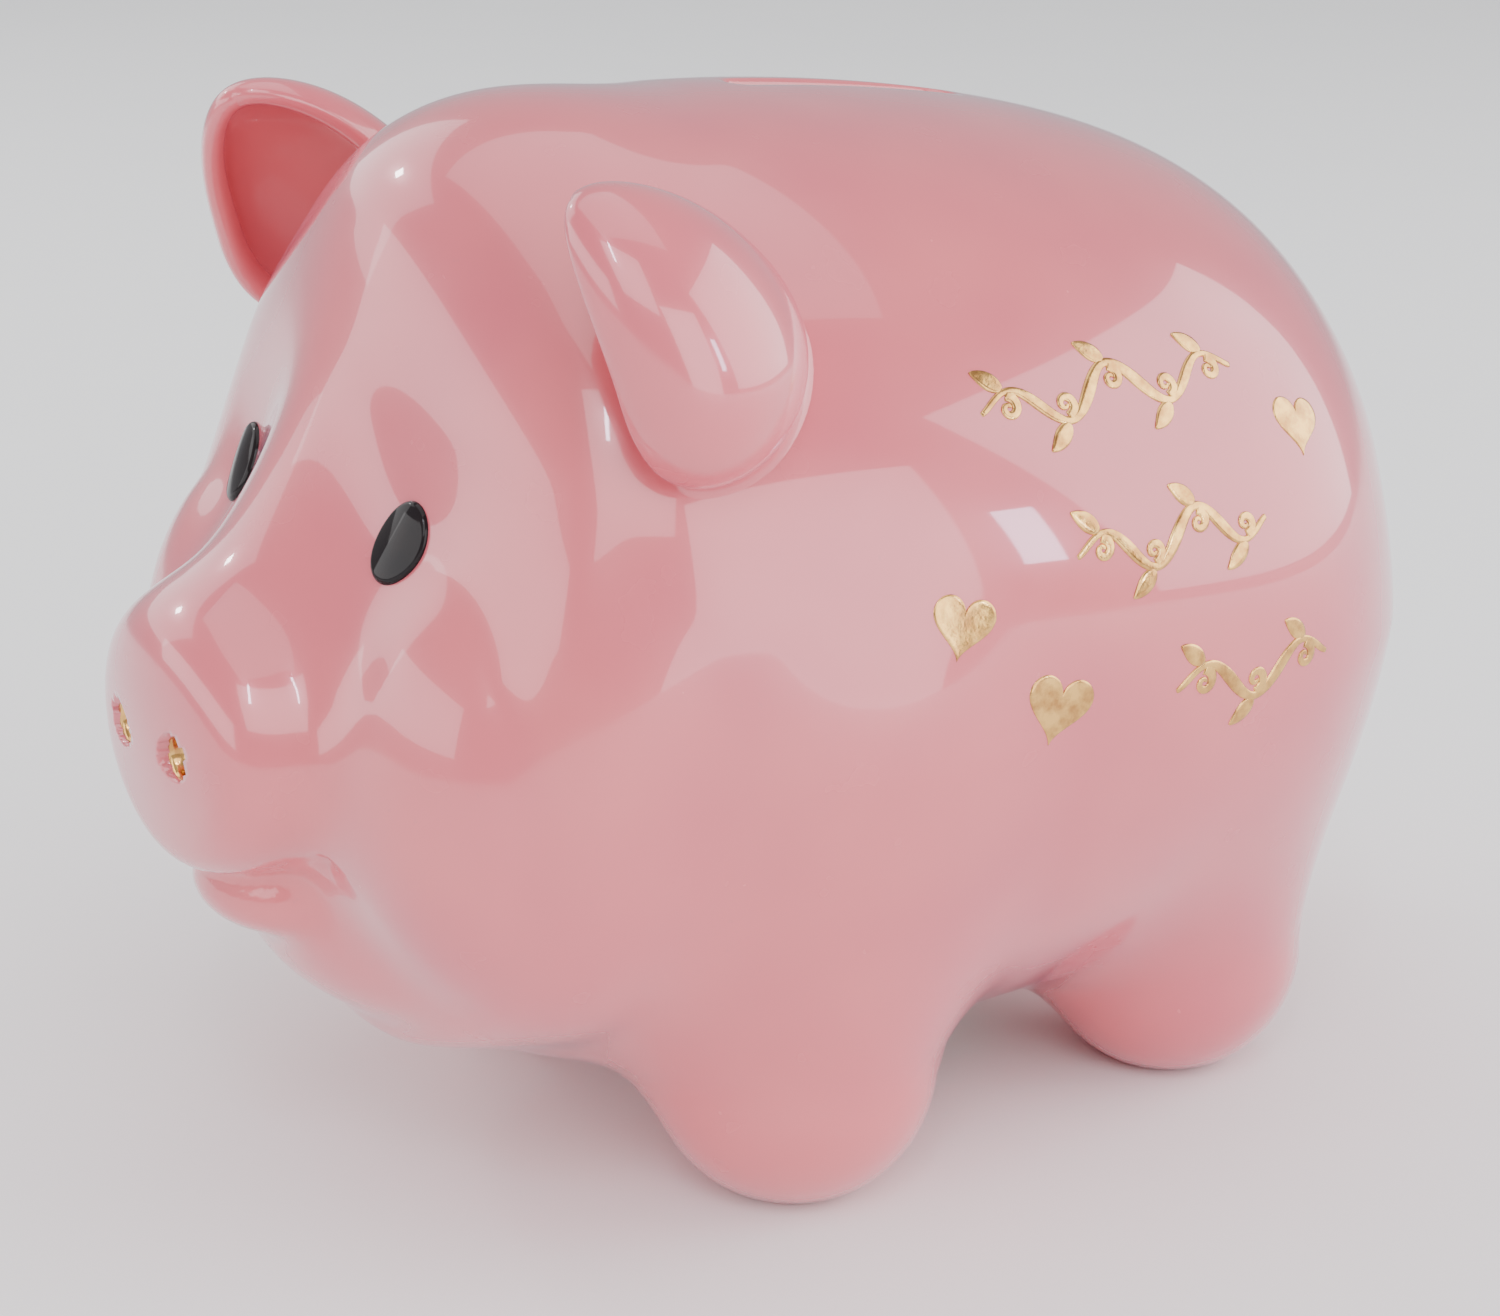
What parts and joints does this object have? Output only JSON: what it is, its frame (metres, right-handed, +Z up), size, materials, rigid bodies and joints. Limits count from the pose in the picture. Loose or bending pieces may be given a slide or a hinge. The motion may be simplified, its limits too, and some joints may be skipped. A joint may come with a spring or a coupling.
{
  "type": "figural animal coin bank",
  "caption": "Glazed ceramic coin bank shaped as a standing pig, with a coin slot in its back, luted ears and tail, gold ornament and a rubber stopper in its belly.",
  "frame": {"origin": "centre of the bounding box, on the plane the four soles stand on", "axes": "+Z up, -Y the way the pig looks, +X its left flank; X is across its plane of symmetry"},
  "size_m": [0.1318, 0.1801, 0.1389],
  "materials": {
    "pink_glaze": "glossy pearl glaze",
    "soft_rubber": "matte",
    "black_enamel": "glossy",
    "gold_lustre": "polished"
  },
  "bodies": {
    "bank": {"body_shell": "pink_glaze", "left_ear": "pink_glaze", "right_ear": "pink_glaze", "tail": "pink_glaze", "left_eye": "black_enamel", "right_eye": "black_enamel", "left_nostril": "gold_lustre", "right_nostril": "gold_lustre", "front_heart": "gold_lustre", "lower_heart": "gold_lustre", "rear_heart": "gold_lustre", "upper_wave": "gold_lustre", "middle_wave": "gold_lustre", "lower_wave": "gold_lustre"},
    "stopper": {"stopper": "soft_rubber"}
  },
  "joints": [
    {"name": "stopper_pull", "type": "slide", "parent": "bank", "child": "stopper", "axis": [0, 0, -1], "range_m": [0, 0.0092]}
  ]
}
